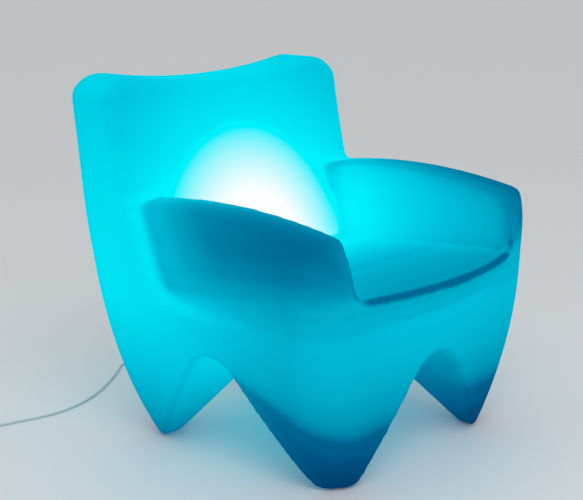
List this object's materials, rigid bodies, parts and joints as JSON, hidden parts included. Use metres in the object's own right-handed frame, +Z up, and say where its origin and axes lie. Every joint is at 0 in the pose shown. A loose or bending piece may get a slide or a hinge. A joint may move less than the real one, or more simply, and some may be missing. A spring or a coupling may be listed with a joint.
{
  "type": "illuminated armchair",
  "caption": "Armchair moulded as one hollow translucent body on four tapering legs, lit from inside, with a lead, an in-line rocker switch and a plug.",
  "frame": {"origin": "centre of the chair's footprint box on the floor, the lead, switch and plug left out", "axes": "+Z up, -Y the way the chair faces, +X across the chair, to the right of someone who looks at its front"},
  "size_m": [1.0957, 1.0458, 0.8141],
  "materials": {
    "shell": "translucent, fine satin",
    "cover": "satin",
    "seal_rubber": "matt",
    "steel": "zinc plated",
    "brass": "plain",
    "holder": "moulded",
    "copper": "plain",
    "bulb_plastic": "satin",
    "opal": "opal",
    "board": "white lacquer",
    "gland": "satin",
    "lead": "smooth sheath",
    "core": "insulated core",
    "switch_shell": "satin gloss",
    "rocker": "gloss",
    "plug": "satin gloss",
    "pin_metal": "nickel plated",
    "glide": "satin"
  },
  "bodies": {
    "chair": {"body_shell": "shell", "service_cover": "cover", "cover_gasket": "seal_rubber", "cover_screws": "steel", "threaded_inserts": "brass", "holder_base": "holder", "holder_barrel": "holder", "screw_shell": "copper", "centre_contact": "copper", "holder_screws": "steel", "bulb_contact": "copper", "bulb_cap": "steel", "bulb_body": "bulb_plastic", "led_board": "board", "bulb_globe": "opal", "gland_body": "gland", "gland_locknut": "gland", "gland_seal": "seal_rubber", "gland_dome_nut": "gland", "cord_sleeve": "lead", "inner_lead": "lead", "lead_cores": "core", "cord_stretch": "lead", "cord_coil": "lead", "switch_base": "switch_shell", "switch_top": "switch_shell", "switch_contacts": "brass", "switch_screws": "steel", "plug_body": "plug", "plug_pins": "pin_metal", "glide_front_left": "glide", "glide_front_right": "glide", "glide_rear_left": "glide", "glide_rear_right": "glide"},
    "rocker": {"switch_rocker": "rocker"}
  },
  "joints": [
    {"name": "rocker_tilt", "type": "hinge", "parent": "chair", "child": "rocker", "pos_m": [-0.577, 0.546, 0.0152], "axis": [0, 1, 0], "range_deg": [-16, 0]}
  ]
}
